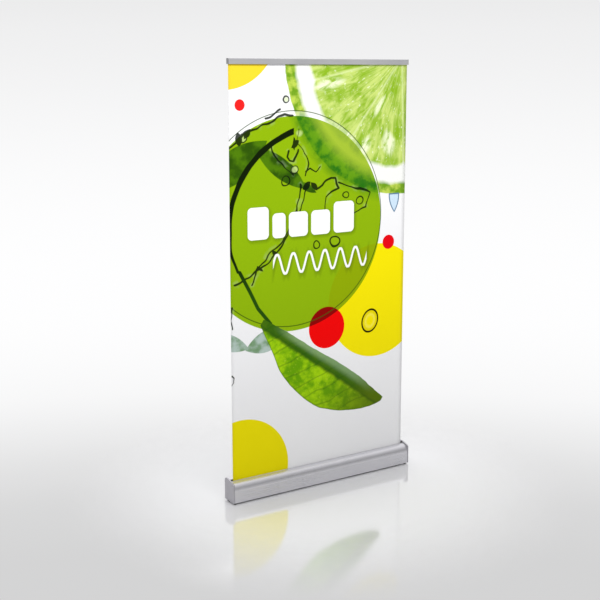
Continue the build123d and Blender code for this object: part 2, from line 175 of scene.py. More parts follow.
class Field:  # one value over a surface; each sum on it becomes a Math node
    def __init__(self, tree, socket):
        self.tree, self.socket = tree, socket

    def calc(self, operation, *others, first=None, clamp=False):
        node = self.tree.nodes.new("ShaderNodeMath")
        node.operation, node.use_clamp = operation, clamp
        values = ((first, self) if first is not None else (self,)) + others
        for place, value in zip(node.inputs, values):
            feed(self.tree, place, value)
        return Field(self.tree, node.outputs[0])

    def __add__(self, other):
        return self.calc("ADD", other)

    def __sub__(self, other):
        return self.calc("SUBTRACT", other)

    def __rsub__(self, other):
        return self.calc("SUBTRACT", first=other)

    def __mul__(self, other):
        return self.calc("MULTIPLY", other)

    def __truediv__(self, other):
        return self.calc("DIVIDE", other)

    def least(self, other):
        return self.calc("MINIMUM", other)

    def most(self, other):
        return self.calc("MAXIMUM", other)

    def size(self):
        return self.calc("ABSOLUTE")

    def clamped(self):
        return self.calc("ADD", 0.0, clamp=True)


def vectorCalc(p, operation, other, output=0):
    node = p.tree.nodes.new("ShaderNodeVectorMath")
    node.operation = operation
    feed(p.tree, node.inputs[0], p)
    feed(p.tree, node.inputs[1], (*other, 0)[:3] if isinstance(other, tuple) else other)
    return Field(p.tree, node.outputs[output])


def gap(p, centre):  # straight distance from a point
    return vectorCalc(p, "DISTANCE", centre, 1)


def split(p):
    node = p.tree.nodes.new("ShaderNodeSeparateXYZ")
    feed(p.tree, node.inputs[0], p)
    return [Field(p.tree, out) for out in node.outputs[:2]]


def joined(x, y):
    node = x.tree.nodes.new("ShaderNodeCombineXYZ")
    feed(x.tree, node.inputs[0], x)
    feed(x.tree, node.inputs[1], y)
    return Field(x.tree, node.outputs[0])


def alongAcross(p, start, end):  # how far p is along the line from start to end, and to its left
    length = math.hypot(end[0] - start[0], end[1] - start[1])
    ux, uy = (end[0] - start[0]) / length, (end[1] - start[1]) / length
    fromStart = vectorCalc(p, "SUBTRACT", start)
    return (vectorCalc(fromStart, "DOT_PRODUCT", (ux, uy), 1),
            vectorCalc(fromStart, "DOT_PRODUCT", (-uy, ux), 1), length)


def inside(depth, soft=0.0010):  # 1 where depth is above 0, 0 outside, over a soft edge in metres
    return depth.calc("MULTIPLY_ADD", 1 / soft, 0.5, clamp=True)


def noise(p, scale, detail=2.0, rough=0.5, warp=0.0):
    node = p.tree.nodes.new("ShaderNodeTexNoise")
    feed(p.tree, node.inputs["Vector"], p)
    node.inputs["Scale"].default_value = scale
    node.inputs["Detail"].default_value = detail
    node.inputs["Roughness"].default_value = rough
    node.inputs["Distortion"].default_value = warp
    return Field(p.tree, node.outputs["Fac"])


def spread(field, low, high, start=0.0, end=1.0):  # low..high carried to start..end, clamped
    node = field.tree.nodes.new("ShaderNodeMapRange")
    node.interpolation_type = "SMOOTHSTEP"
    for place, value in zip(node.inputs, (field, low, high, start, end)):
        feed(field.tree, place, value)
    return Field(field.tree, node.outputs["Result"])


def paint(tree, under, over, mask, way="MIX"):  # over is laid on under where mask is 1
    node = tree.nodes.new("ShaderNodeMix")
    node.data_type, node.blend_type = "RGBA", way
    for place, value in ((0, mask), (6, under), (7, over)):
        feed(tree, node.inputs[place], value)
    return Field(tree, node.outputs[2])


def ink(red, green, blue):  # screen values from 0 to 255 as a linear colour
    def line(v):
        v = v / 255
        return v / 12.92 if v <= 0.04045 else ((v + 0.055) / 1.055) ** 2.4
    return (line(red), line(green), line(blue), 1)


def startMaterial(name):
    material = bpy.data.materials.new(name)
    material.use_nodes = True
    tree = material.node_tree
    return material, tree, tree.nodes["Principled BSDF"]


def stretched(tree, scale):  # object coordinates in metres, times a scale for each axis
    coords = tree.nodes.new("ShaderNodeTexCoord")
    mapping = tree.nodes.new("ShaderNodeMapping")
    mapping.inputs["Scale"].default_value = scale
    tree.links.new(coords.outputs["Object"], mapping.inputs["Vector"])
    return Field(tree, mapping.outputs[0])


def bumped(tree, shader, height, strength, distance):
    node = tree.nodes.new("ShaderNodeBump")
    node.inputs["Strength"].default_value = strength
    node.inputs["Distance"].default_value = distance
    feed(tree, node.inputs["Height"], height)
    tree.links.new(node.outputs[0], shader.inputs["Normal"])


# tint: darker and lighter colour; rough: lowest and highest; grain: waves a metre along x, y and z;
# bump: strength and height; cloud: waves a metre of the broad tone changes
finishes = {
    "anodisedExtrusion": dict(tint=(ink(211, 210, 215), ink(219, 218, 223)), metal=0.75, rough=(0.27, 0.29),
                              grain=(3, 900, 900), bump=(0.05, 0.00003), cloud=5),
    # end caps: silver paint like the housing's, its tint set darker as painted shade of their sideways-facing ends
    "capPaintShaded": dict(tint=(ink(160, 158, 164), ink(170, 168, 173)), metal=0.3, rough=(0.4, 0.52),
                     grain=(2600, 2600, 2600), bump=(0.18, 0.00005), cloud=20),
    "railExtrusion": dict(tint=(ink(186, 186, 189), ink(198, 198, 200)), metal=0.5, rough=(0.36, 0.46),
                          grain=(3, 1100, 1100), bump=(0.06, 0.00003), cloud=6),
    "feltPile": dict(tint=(ink(20, 20, 21), ink(48, 48, 49)), metal=0.0, rough=(0.85, 0.98),
                     grain=(1400, 1400, 500), bump=(0.9, 0.0004), cloud=60),
    "railCapPlastic": dict(tint=(ink(126, 126, 128), ink(138, 138, 140)), metal=0.0, rough=(0.45, 0.6),
                           grain=(2200, 2200, 2200), bump=(0.3, 0.00006), cloud=30),
    "blackPlastic": dict(tint=(ink(22, 22, 24), ink(36, 36, 38)), metal=0.0, rough=(0.42, 0.62),
                         grain=(1700, 1700, 1700), bump=(0.45, 0.0001), cloud=25),
    "stripPlastic": dict(tint=(ink(172, 172, 175), ink(188, 188, 191)), metal=0.0, rough=(0.35, 0.5),
                         grain=(3, 1200, 1200), bump=(0.2, 0.00005), cloud=30),
    "nylon": dict(tint=(ink(222, 219, 210), ink(236, 234, 226)), metal=0.0, rough=(0.38, 0.5),
                  grain=(900, 900, 900), bump=(0.15, 0.00005), cloud=40),
    "tubeDrawn": dict(tint=(ink(186, 187, 190), ink(206, 207, 210)), metal=0.95, rough=(0.24, 0.38),
                      grain=(1300, 1300, 2.5), bump=(0.25, 0.00004), cloud=8),
    "rollerDrawn": dict(tint=(ink(180, 181, 184), ink(200, 201, 204)), metal=0.95, rough=(0.28, 0.42),
                        grain=(2.5, 1300, 1300), bump=(0.25, 0.00004), cloud=8),
    "springSteel": dict(tint=(ink(120, 118, 116), ink(160, 158, 155)), metal=1.0, rough=(0.25, 0.45),
                        grain=(700, 700, 700), bump=(0.3, 0.00005), cloud=60),
    "zincSteel": dict(tint=(ink(160, 162, 166), ink(200, 202, 204)), metal=1.0, rough=(0.28, 0.42),
                      grain=(1500, 1500, 1500), bump=(0.25, 0.00004), cloud=160),
    "footPaint": dict(tint=(ink(150, 150, 153), ink(166, 166, 168)), metal=0.4, rough=(0.4, 0.55),
                      grain=(500, 500, 500), bump=(0.35, 0.00012), cloud=12),
    "padRubber": dict(tint=(ink(26, 26, 26), ink(44, 44, 43)), metal=0.0, rough=(0.7, 0.9),
                      grain=(1200, 1200, 1200), bump=(0.6, 0.00015), cloud=50),
    "gripRubber": dict(tint=(ink(40, 40, 41), ink(58, 58, 58)), metal=0.0, rough=(0.65, 0.85),
                       grain=(1, 1600, 1600), bump=(0.5, 0.0001), cloud=30),
}
slotFinish = {
    "silver_anodised": "anodisedExtrusion", "silver_cap": "capPaintShaded", "rail_aluminium": "railExtrusion",
    "rail_cap": "railCapPlastic", "edge_strip": "stripPlastic", "felt": "feltPile",
    "black_plastic": "blackPlastic", "nylon": "nylon", "tube_aluminium": "tubeDrawn",
    "steel": "springSteel", "screw_steel": "zincSteel", "foot_steel": "footPaint",
    "rubber": "padRubber", "grip_rubber": "gripRubber",
}


def makeFinish(name, f):  # fine grain moves roughness and height, broad clouds and grain move the colour
    material, tree, shader = startMaterial(name)
    grain = noise(stretched(tree, f["grain"]), 1.0, 3.0, 0.6)
    cloud = noise(stretched(tree, (f["cloud"],) * 3), 1.0, 4.0, 0.55)
    mixed = spread(grain * 0.45 + cloud * 0.55, 0.32, 0.68)
    shader.inputs["Metallic"].default_value = f["metal"]
    feed(tree, shader.inputs["Base Color"], paint(tree, f["tint"][0], f["tint"][1], mixed))
    feed(tree, shader.inputs["Roughness"], spread(grain * 0.6 + cloud * 0.4, 0.3, 0.7, *f["rough"]))
    bumped(tree, shader, grain, *f["bump"])
    return material


finishMaterials = {name: makeFinish(name, f) for name, f in finishes.items()}


def dressNode(name, material):
    node = nodes[name]
    if not node.material_slots:
        node.data.materials.append(None)
    for place in node.material_slots:
        place.material = material


for row in frame["record"]["subparts"]:
    if row["material_slot"] in slotFinish:
        dressNode(row["node"], finishMaterials[slotFinish[row["material_slot"]]])
dressNode("roller_tube", finishMaterials["rollerDrawn"])
print("finishes:", len(finishMaterials))

# The printed artwork, in metres from the film's left edge and up from the slot.
artwork = {
    "paper": (ink(249, 249, 250), ink(244, 244, 246)),
    "footShade": (0.0, 1.25, 0.82),   # painted shade: the whole print darkens between these heights, to this at its foot
    "topShade": (1.35, 1.90, 0.94),   # and painted shade between these, to this under the rail
    "inkGloss": (0.36, 0.46),
    "underDiscs": [       # centre, radius, ink
        ((-0.026, 2.127), 0.291, ink(242, 214, 50)),
        ((0.057, 1.769), 0.026, ink(255, 36, 34)),
        ((0.832, 0.786), 0.289, ink(251, 234, 2)),
        ((0.051, 0.034), 0.258, ink(242, 228, 2)),
    ],
    "redDisc": ((0.533, 0.682), 0.104, ink(248, 1, 2)),
    "redDot": ((0.902, 1.077), 0.036, ink(232, 2, 18)),
    "wash": {"centre": (0.340, 1.203), "radius": 0.512, "ink": ink(148, 187, 8), "gap": 0.50,
             "gapOnSlice": 0.22, "line": ink(52, 82, 10), "lineRise": 0.024, "lineWidth": 0.005,
             # bands of the slice seen through it: depth under the slice's edge, half width, inks, cover
             "rim": (0.035, 0.050, (ink(24, 112, 18), ink(96, 156, 16)), 0.85),
             "olive": (0.125, 0.085, (ink(184, 204, 78), ink(184, 204, 78)), 0.45), "bandBlur": 0.06},
    "slice": {"centre": (0.97, 1.987), "radius": 0.672, "rind": 0.056, "pith": 0.078, "segments": 9.0,
              "segmentTurn": 0.2, "rindInks": (ink(112, 160, 30), ink(190, 212, 84)),
              "pithInk": ink(245, 246, 242), "fleshInks": (ink(140, 182, 36), ink(204, 223, 122)),
              "fleck": ink(248, 252, 222), "wall": ink(226, 238, 176),
              "edgeWave": 0.020, "edgeBlur": 0.022, "cornerRound": 0.022, "wallFade": 0.010,
              "palePatches": [     # ends and half width
                  ((0.455, 1.843), (0.630, 1.878), 0.024), ((0.905, 1.500), (0.880, 1.640), 0.036),
                  ((0.735, 1.515), (0.775, 1.610), 0.022), ((0.800, 1.700), (0.868, 1.800), 0.016),
              ]},
    "stem": {"centre": (0.455, 1.195), "radius": 0.457, "widths": (0.013, 0.028), "right": 0.345,
             "inks": (ink(16, 30, 4), ink(36, 78, 8)), "footHalf": 0.009,
             "foot": [(0.048, 1.005), (0.103, 0.905), (0.145, 0.822), (0.215, 0.738)]},
    "leaf": {"base": (0.15, 0.79), "tip": (0.88, 0.272), "inks": (ink(104, 164, 2), ink(168, 216, 14)),
             "fold": ink(44, 92, 10), "foldEdge": ink(126, 158, 112), "tipInk": ink(86, 112, 8),
             "spark": ink(186, 216, 60), "crease": ink(24, 60, 8), "foldWidth": 0.044, "veins": 11.0,
             "depth": 0.2225, "rise": 0.045, "drop": 0.010,
             "lowerEdge": [(0.0, 0.05), (0.05, 0.19), (0.13, 0.38), (0.19, 0.51), (0.33, 0.83),
                           (0.48, 0.97), (0.60, 1.0), (0.70, 0.91), (0.82, 0.70), (0.94, 0.37), (1.0, 0.10)],
             "upperEdge": [(0.0, 0.0), (0.23, 0.41), (0.42, 0.5), (0.61, 0.72), (0.77, 0.72), (0.88, 0.47),
                           (1.0, 0.24)]},
    "smallLeaves": [      # ends and half width
        ((0.13, 1.580), (0.415, 1.370), 0.047), ((0.37, 1.405), (0.47, 1.350), 0.018),
        ((0.31, 1.50), (0.35, 1.44), 0.016),
    ],
    "outerLeaf": ((-0.14, 1.385), (0.20, 1.605), 0.075),
    "leafInks": (ink(22, 70, 4), ink(70, 118, 6)),
    "paleLeaves": [((0.075, 0.628), (0.31, 0.690), 0.052), ((-0.13, 0.722), (0.095, 0.634), 0.040)],
    "paleLeafInks": (ink(84, 136, 74), ink(172, 194, 184)),
    "splashLines": [      # a width and the points it runs through
        (0.0095, [(-0.02, 1.566), (0.036, 1.602), (0.096, 1.649), (0.202, 1.684), (0.299, 1.723),
                  (0.345, 1.722)]),
        (0.0100, [(0.190, 1.706), (0.232, 1.722), (0.268, 1.745)]),
        (0.0055, [(0.222, 1.600), (0.236, 1.540), (0.282, 1.490), (0.338, 1.440)]),
        (0.0085, [(0.318, 1.556), (0.307, 1.530), (0.318, 1.508), (0.338, 1.506), (0.358, 1.528),
                  (0.372, 1.560)]),
        (0.0050, [(0.372, 1.655), (0.360, 1.600), (0.395, 1.560), (0.426, 1.489), (0.413, 1.432)]),
        (0.0060, [(0.413, 1.450), (0.436, 1.472), (0.470, 1.452), (0.490, 1.476)]),
        (0.0075, [(0.465, 1.372), (0.505, 1.385), (0.550, 1.419)]),
        (0.0070, [(0.385, 1.392), (0.352, 1.255), (0.308, 1.160), (0.239, 1.070), (0.157, 1.007),
                  (0.02, 0.944)]),
        (0.0055, [(0.412, 1.385), (0.385, 1.285), (0.281, 1.138), (0.212, 1.079), (0.144, 1.008),
                  (0.113, 0.935)]),
        (0.0065, [(0.550, 1.419), (0.577, 1.418), (0.600, 1.360), (0.522, 1.325), (0.520, 1.262)]),
        (0.0060, [(0.60, 1.395), (0.69, 1.362), (0.785, 1.336), (0.760, 1.262), (0.69, 1.235),
                  (0.66, 1.275)]),
        (0.0045, [(0.010, 0.840), (0.000, 0.780), (0.012, 0.742)]),
        (0.0035, [(0.002, 0.515), (0.016, 0.500), (0.014, 0.478), (0.000, 0.466)]),
    ],
    "splashRings": [      # centre, radius, width
        ((0.298, 1.415), 0.021, 0.005), ((0.577, 1.108), 0.027, 0.008), ((0.470, 1.098), 0.016, 0.005),
        ((0.300, 1.792), 0.016, 0.006), ((0.074, 1.620), 0.017, 0.004), ((0.345, 1.464), 0.019, 0.004),
        ((0.725, 1.300), 0.022, 0.005), ((0.640, 1.325), 0.016, 0.005),
    ],
    "splashBlots": [      # ends and half width of thick spots of ink
        ((0.046, 1.650), (0.054, 1.586), 0.018), ((0.078, 1.614), (0.112, 1.664), 0.011),
        ((0.330, 1.568), (0.374, 1.602), 0.016), ((0.342, 1.616), (0.348, 1.556), 0.010),
        ((0.390, 1.368), (0.442, 1.404), 0.014), ((0.444, 1.402), (0.474, 1.366), 0.014),
        ((0.142, 1.022), (0.172, 0.996), 0.009), ((0.222, 1.092), (0.252, 1.058), 0.010),
    ],
    "paleDrops": [        # centre and radius
        ((0.074, 1.620), 0.015), ((0.345, 1.464), 0.017), ((0.372, 1.634), 0.014), ((0.300, 1.792), 0.013),
    ],
    "splashInks": {"sheen": ink(232, 240, 214), "drop": ink(206, 226, 150), "stroke": ink(12, 28, 6)},
    "heading": {"ink": ink(254, 254, 254), "shadeInk": ink(40, 60, 6), "shadeShift": (-0.005, 0.007),
                "foot": 1.148, "corner": 0.022,
                "blocks": [       # left, right, height
                    (0.093, 0.206, 0.152), (0.226, 0.298, 0.118), (0.316, 0.422, 0.118),
                    (0.441, 0.549, 0.118), (0.570, 0.689, 0.152),
                ],
                "wave": {"left": 0.228, "right": 0.768, "middle": 1.022, "height": 0.046, "length": 0.090,
                         "half": 0.0058}},
    "seed": {"centre": (0.793, 0.685), "lean": (0.35, 1.0), "half": (0.047, 0.058),
             # each band: share of the way out, half width as a share, blur, cover, ink
             "bands": [(0.80, 0.13, 0.12, 0.35, ink(206, 190, 0)), (0.55, 0.10, 0.2, 0.2, ink(255, 250, 170)),
                       (1.0, 0.085, 0.05, 1.0, ink(26, 24, 0))]},
    "drip": {"shape": ((0.929, 1.390), (0.936, 1.228), 0.029), "top": 1.318,
             "inks": (ink(206, 228, 246), ink(88, 124, 158)), "lineHalf": 0.0032},
}


def block(p, left, right, foot, height, corner):  # depth inside a rectangle with round corners
    cx, cy = (left + right) / 2, foot + height / 2
    x, y = split(p)
    sideX = (x - cx).size() - ((right - left) / 2 - corner)
    sideY = (y - cy).size() - (height / 2 - corner)
    outer = gap(joined(sideX.most(0.0), sideY.most(0.0)), (0.0, 0.0, 0.0))
    return corner - outer - sideX.most(sideY).least(0.0)


def lens(p, start, end, half):  # a leaf shape: a parabola's half width along the line from start to end
    along, across, length = alongAcross(p, start, end)
    ratio = along * (2 / length) - 1.0
    return (1.0 - ratio * ratio) * half - across.size()


def curveThrough(tree, value, points):  # a smooth curve through given points, both ways from 0 to 1
    node = tree.nodes.new("ShaderNodeFloatCurve")
    marks = node.mapping.curves[0].points
    while len(marks) < len(points):
        marks.new(0.5, 0.5)
    for mark, point in zip(marks, points):
        mark.location = point
    node.mapping.update()
    feed(tree, node.inputs["Value"], value)
    return Field(tree, node.outputs[0])


def wavering(p, scale, reach):  # the same places, pushed about by smooth noise
    node = p.tree.nodes.new("ShaderNodeTexNoise")
    feed(p.tree, node.inputs["Vector"], p)
    node.inputs["Scale"].default_value = scale
    node.inputs["Detail"].default_value = 1.0
    push = vectorCalc(Field(p.tree, node.outputs["Color"]), "SUBTRACT", (0.5, 0.5, 0.5))
    return vectorCalc(vectorCalc(push, "MULTIPLY", (reach, reach, 0.0)), "ADD", p)


def greatest(depths):
    result = depths[0]
    for depth in depths[1:]:
        result = result.most(depth)
    return result


def brokenLine(p, half, points):  # depth inside a line of half width that runs through the points
    runs = []
    for start, end in zip(points[:-1], points[1:]):
        along, across, length = alongAcross(p, start, end)
        past = (along * -1.0).most(along - length).most(0.0)
        runs.append(half - (across.size() + past))
    return greatest(runs)


def limeSlice(tree, p, under):
    s = artwork["slice"]
    away = gap(p, s["centre"])
    x, y = split(vectorCalc(p, "SUBTRACT", s["centre"]))
    angle = y.calc("ARCTAN2", x)
    place = (angle * (s["segments"] / math.tau) + s["segmentTurn"]).calc("FRACT")
    fromMiddle = (place * 2.0 - 1.0).size()  # 0 along a segment's middle, 1 at its walls
    wobble = noise(p, 14.0, 2.5) * s["edgeWave"] - s["edgeWave"] / 2
    whole = inside((wobble + s["radius"]) - away, 0.004)
    innerRind = inside((wobble * 1.4 + (s["radius"] - s["rind"])) - away, s["edgeBlur"])
    corner = fromMiddle.calc("POWER", 6.0) * s["cornerRound"]
    fleshEdge = (wobble + (s["radius"] - s["rind"] - s["pith"])) - corner
    flesh = inside(fleshEdge - away, s["edgeBlur"])
    polar = joined(angle * 13.0, away * 8.0)
    streak = noise(polar, 1.0, 5.0, 0.62, 0.9)
    broad = noise(p, 9.0, 3.0)
    beads = noise(joined(angle * 26.0, away * 34.0), 1.0, 3.0)
    fleshInk = paint(tree, *s["fleshInks"], spread(streak * 0.6 + broad * 0.4, 0.38, 0.60))
    fleshInk = paint(tree, fleshInk, s["fleck"], spread(beads, 0.60, 0.72) * 0.7)
    patches = greatest([lens(p, *patch) for patch in s["palePatches"]])
    fleshInk = paint(tree, fleshInk, s["fleck"], inside(patches, 0.024) * spread(streak, 0.35, 0.6) * 0.85)
    wallWidth = (1.0 - fromMiddle) * away * (math.pi / s["segments"])
    fleshInk = paint(tree, fleshInk, s["wall"], spread(wallWidth, 0.0, s["wallFade"], 0.55, 0.0))
    rindInk = paint(tree, *s["rindInks"], spread(noise(p, 26.0, 3.0), 0.36, 0.66))
    result = paint(tree, under, rindInk, whole)
    result = paint(tree, result, s["pithInk"], innerRind)
    return paint(tree, result, fleshInk, flesh), away


def washOver(tree, p, under, sliceAway):  # a see-through green disc, its thin ring and the pale gap between
    s, cut = artwork["wash"], artwork["slice"]
    depth = inside(s["radius"] - gap(p, s["centre"]))
    risen = (s["centre"][0], s["centre"][1] + s["lineRise"])
    ring = gap(p, risen) - s["radius"]
    fade = s["gap"] - inside(cut["radius"] - sliceAway, 0.02) * (s["gap"] - s["gapOnSlice"])
    colour = paint(tree, under, (1, 1, 1, 1), (1.0 - depth) * inside(ring * -1.0) * fade)
    colour = paint(tree, colour, s["ink"], depth, "MULTIPLY")
    # through the wash the slice's flesh reads as olive and its rim as a deep green band
    mottle = spread(noise(p, 17.0, 3.0, 0.6), 0.36, 0.62)
    for deep, half, inks, cover in (s["olive"], s["rim"]):
        band = inside(half - (sliceAway - (cut["radius"] - deep)).size(), s["bandBlur"]) * depth
        colour = paint(tree, colour, paint(tree, *inks, mottle), band * cover)
    return paint(tree, colour, s["line"], inside(s["lineWidth"] / 2 - ring.size()) * 0.8)


def bigLeaf(tree, p, under):
    s = artwork["leaf"]
    along, across, length = alongAcross(p, s["base"], s["tip"])
    share = (along / length).clamped()
    wave = (noise(p, 24.0, 1.0) - 0.5) * 0.006
    upper = curveThrough(tree, share, s["upperEdge"]) * s["rise"] - s["drop"]
    lower = curveThrough(tree, share, s["lowerEdge"]) * s["depth"]
    below = (wave + upper) - across          # how far under the upper edge
    above = (wave + lower) + across          # how far over the lower edge
    mask = inside(below, 0.002) * inside(above, 0.002) * inside(along - 0.035) * inside(length - along)
    mottle = noise(p, 24.0, 4.0, 0.62)
    broad = noise(p, 7.0, 2.0)
    body = paint(tree, *s["inks"], spread(mottle * 0.5 + broad * 0.5, 0.38, 0.60))
    phase = ((along + below * 0.75) * s["veins"] + noise(p, 5.0) * 0.8).calc("FRACT")
    body = paint(tree, body, s["fold"], spread((phase - 0.5).size(), 0.0, 0.10, 0.42, 0.0))
    body = paint(tree, body, s["spark"], spread(noise(p, 70.0, 2.0), 0.62, 0.72) * 0.5)
    body = paint(tree, body, s["tipInk"], spread(share, 0.5, 1.0, 0.0, 0.9))
    body = paint(tree, body, s["tipInk"], spread(above, 0.0, 0.010, 0.7, 0.0))
    foldWide = upper + s["foldWidth"]
    folded = inside(foldWide - below, 0.010)
    shine = spread(below / foldWide, 0.75, 0.15) * spread(share, 0.1, 0.3)
    foldTone = paint(tree, s["fold"], s["foldEdge"], shine)
    foldTone = paint(tree, foldTone, s["tipInk"], spread(share, 0.7, 0.95))
    body = paint(tree, body, s["crease"], inside(0.008 - (foldWide - below).size(), 0.012) * 0.6)
    body = paint(tree, body, foldTone, folded * 0.9)
    return paint(tree, under, body, mask)


def heading(tree, p, under):  # plain blocks stand where words would be
    s = artwork["heading"]
    bold = greatest([block(p, left, right, s["foot"], height, s["corner"])
                     for left, right, height in s["blocks"]])
    w = s["wave"]
    x, y = split(p)
    phase = (x - w["left"]) * (math.tau / w["length"])
    slope = phase.calc("COSINE") * (w["height"] * math.tau / w["length"])
    lean = (slope * slope + 1.0).calc("SQRT")
    thin = w["half"] - ((y - w["middle"]) - phase.calc("SINE") * w["height"]).size() / lean
    both = bold.most(thin.least(x - w["left"]).least(w["right"] - x))
    return paint(tree, under, s["ink"], inside(both, 0.0015)), both


def splash(tree, p, under):
    s, tones = artwork, artwork["splashInks"]
    moved = wavering(p, 13.0, 0.030)
    thick = noise(p, 9.0, 1.0) * 0.009 - 0.0035
    lines = greatest([brokenLine(moved, width / 2, points) for width, points in s["splashLines"]])
    rings = greatest([width / 2 - (gap(moved, centre) - radius).size()
                      for centre, radius, width in s["splashRings"]])
    blots = greatest([lens(moved, *blot) for blot in s["splashBlots"]])
    drops = greatest([radius - gap(moved, centre) for centre, radius in s["paleDrops"]])
    sheen = inside((lines + 0.010).least(0.004 - lines), 0.010)
    colour = paint(tree, under, tones["sheen"], sheen * spread(noise(p, 21.0, 1.0), 0.50, 0.66) * 0.10)
    colour = paint(tree, colour, tones["drop"], inside(drops, 0.010) * 0.6)
    strokes = (lines + thick).most(rings + thick * 0.5).most(blots)
    return paint(tree, colour, tones["stroke"], inside(strokes, 0.003) * 0.95)


def disc(tree, p, under, centre, radius, tone):
    return paint(tree, under, tone, inside(radius - gap(p, centre)))


def foliage(tree, p, under, fromStem):  # dark leaves on the wash and pale ones under it
    a = artwork
    leafTone = paint(tree, *a["leafInks"], spread(noise(p, 13.0, 3.0), 0.4, 0.64))
    outer = inside(lens(p, *a["outerLeaf"]), 0.003) * inside(fromStem)
    small = inside(greatest([lens(p, *leaf) for leaf in a["smallLeaves"]]), 0.004)
    colour = paint(tree, under, leafTone, outer.most(small) * 0.93)
    paleTone = paint(tree, *a["paleLeafInks"], spread(noise(p, 15.0, 3.0), 0.36, 0.6))
    pale = inside(greatest([lens(p, *leaf) for leaf in a["paleLeaves"]]), 0.003)
    return paint(tree, colour, paleTone, pale * 0.9)


def stemOver(tree, p, under, fromStem):  # an arc that widens upwards, and its bent foot
    s = artwork["stem"]
    x, y = split(p)
    half = spread(y, 0.95, 1.5, s["widths"][0] / 2, s["widths"][1] / 2)
    arc = inside(half - fromStem.size(), 0.003) * inside(s["right"] - x, 0.004) * inside(y - 1.0, 0.004)
    foot = inside(brokenLine(p, s["footHalf"], s["foot"]), 0.003)
    return paint(tree, under, paint(tree, *s["inks"], spread(y, 1.10, 0.85)), arc.most(foot))


def hangingDrip(tree, p, under):
    s = artwork["drip"]
    depth = lens(p, *s["shape"]).least(s["top"] - split(p)[1])
    colour = paint(tree, under, s["inks"][0], inside(depth, 0.003))
    return paint(tree, colour, s["inks"][1], inside(s["lineHalf"] - depth.size(), 0.003))


def seed(tree, p, under):  # leaning ovals, one inside the other
    s = artwork["seed"]
    end = (s["centre"][0] + s["lean"][0], s["centre"][1] + s["lean"][1])
    along, across, _ = alongAcross(p, s["centre"], end)
    oval = gap(joined(along / s["half"][1], across / s["half"][0]), (0.0, 0.0, 0.0))
    for share, half, blur, cover, tone in s["bands"]:
        under = paint(tree, under, tone, inside(half - (oval - share).size(), blur) * cover)
    return under


def printInk(tree, p):
    a = artwork
    colour = paint(tree, *a["paper"], noise(p, 2.0))
    for spot in a["underDiscs"]:
        colour = disc(tree, p, colour, *spot)
    colour, sliceAway = limeSlice(tree, p, colour)
    colour = disc(tree, p, colour, *a["redDisc"])
    colour = washOver(tree, p, colour, sliceAway)
    fromStem = gap(wavering(p, 7.0, 0.022), a["stem"]["centre"]) - a["stem"]["radius"]
    colour = foliage(tree, p, colour, fromStem)
    colour = splash(tree, p, colour)
    colour = stemOver(tree, p, colour, fromStem)
    colour = bigLeaf(tree, p, colour)
    colour = hangingDrip(tree, p, colour)
    colour = seed(tree, p, colour)
    colour = disc(tree, p, colour, *a["redDot"])
    words = a["heading"]
    depth = heading(tree, vectorCalc(p, "ADD", words["shadeShift"]), colour)[1]
    colour = paint(tree, colour, words["shadeInk"], inside(depth + 0.004, 0.022) * 0.45)
    colour = heading(tree, p, colour)[0]
    # painted shade laid over the whole print: darker towards its foot and just under the rail
    y = split(p)[1]
    footLow, footHigh, footShade = a["footShade"]
    topLow, topHigh, topShade = a["topShade"]
    shade = spread(y, footLow, footHigh, footShade, 1.0) * spread(y, topLow, topHigh, 1.0, topShade)
    grey = joined(shade, shade)
    tree.links.new(shade.socket, grey.socket.node.inputs[2])
    return paint(tree, colour, grey, 1.0, "MULTIPLY")


def filmMaterial():
    material, tree, shader = startMaterial("printedFilm")
    uv = tree.nodes.new("ShaderNodeUVMap")
    uv.uv_map = "film"
    p = Field(tree, uv.outputs[0])
    feed(tree, shader.inputs["Base Color"], printInk(tree, p))
    shader.inputs["Specular IOR Level"].default_value = 0.05
    fine = noise(p, 900.0, 2.0)
    patchy = fine * 0.5 + noise(p, 6.0) * 0.5
    feed(tree, shader.inputs["Roughness"], spread(patchy, 0.3, 0.7, *artwork["inkGloss"]))
    bumped(tree, shader, fine, 0.08, 0.00005)
    return material


def plainFilm(name, tones, rough):  # fine vertical and level threads, over tones that hardly change
    material, tree, shader = startMaterial(name)
    upright = noise(stretched(tree, (1400, 1400, 90)), 1.0, 2.0)
    level = noise(stretched(tree, (90, 90, 1400)), 1.0, 2.0)
    weave = (upright + level) * 0.5
    cloud = noise(stretched(tree, (1.3, 1.3, 0.7)), 1.0, 1.0)
    mixed = spread(weave * 0.6 + cloud * 0.4, 0.25, 0.75)
    feed(tree, shader.inputs["Base Color"], paint(tree, *tones, mixed))
    feed(tree, shader.inputs["Roughness"], spread(cloud, 0.3, 0.7, *rough))
    bumped(tree, shader, weave, 0.15, 0.00005)
    return material


def surfaceFromGrid(name, x, y, z, uv):  # x, y and z are arrays over rows and columns of one sheet
    rows, columns = x.shape
    mesh = bpy.data.meshes.new(name)
    corner = np.arange(rows * columns).reshape(rows, columns)
    quads = np.stack([corner[:-1, :-1], corner[:-1, 1:], corner[1:, 1:], corner[1:, :-1]], -1)
    quads = quads.reshape(-1, 4)
    mesh.from_pydata(np.stack([x, y, z], -1).reshape(-1, 3), [], quads)
    layer = mesh.uv_layers.new(name="film")
    layer.uv.foreach_set("vector", uv.reshape(-1, 2)[quads.ravel()].astype(np.float32).ravel())
    mesh.polygons.foreach_set("use_smooth", np.ones(len(quads), bool))
    piece = bpy.data.objects.new(name, mesh)
    bpy.context.scene.collection.objects.link(piece)
    return piece


def thicken(piece, thickness, materials):
    for material in materials:
        piece.data.materials.append(material)
    solid = piece.modifiers.new("thickness", "SOLIDIFY")
    solid.thickness = thickness
    solid.offset = 0
    solid.material_offset = 1
    solid.material_offset_rim = 1


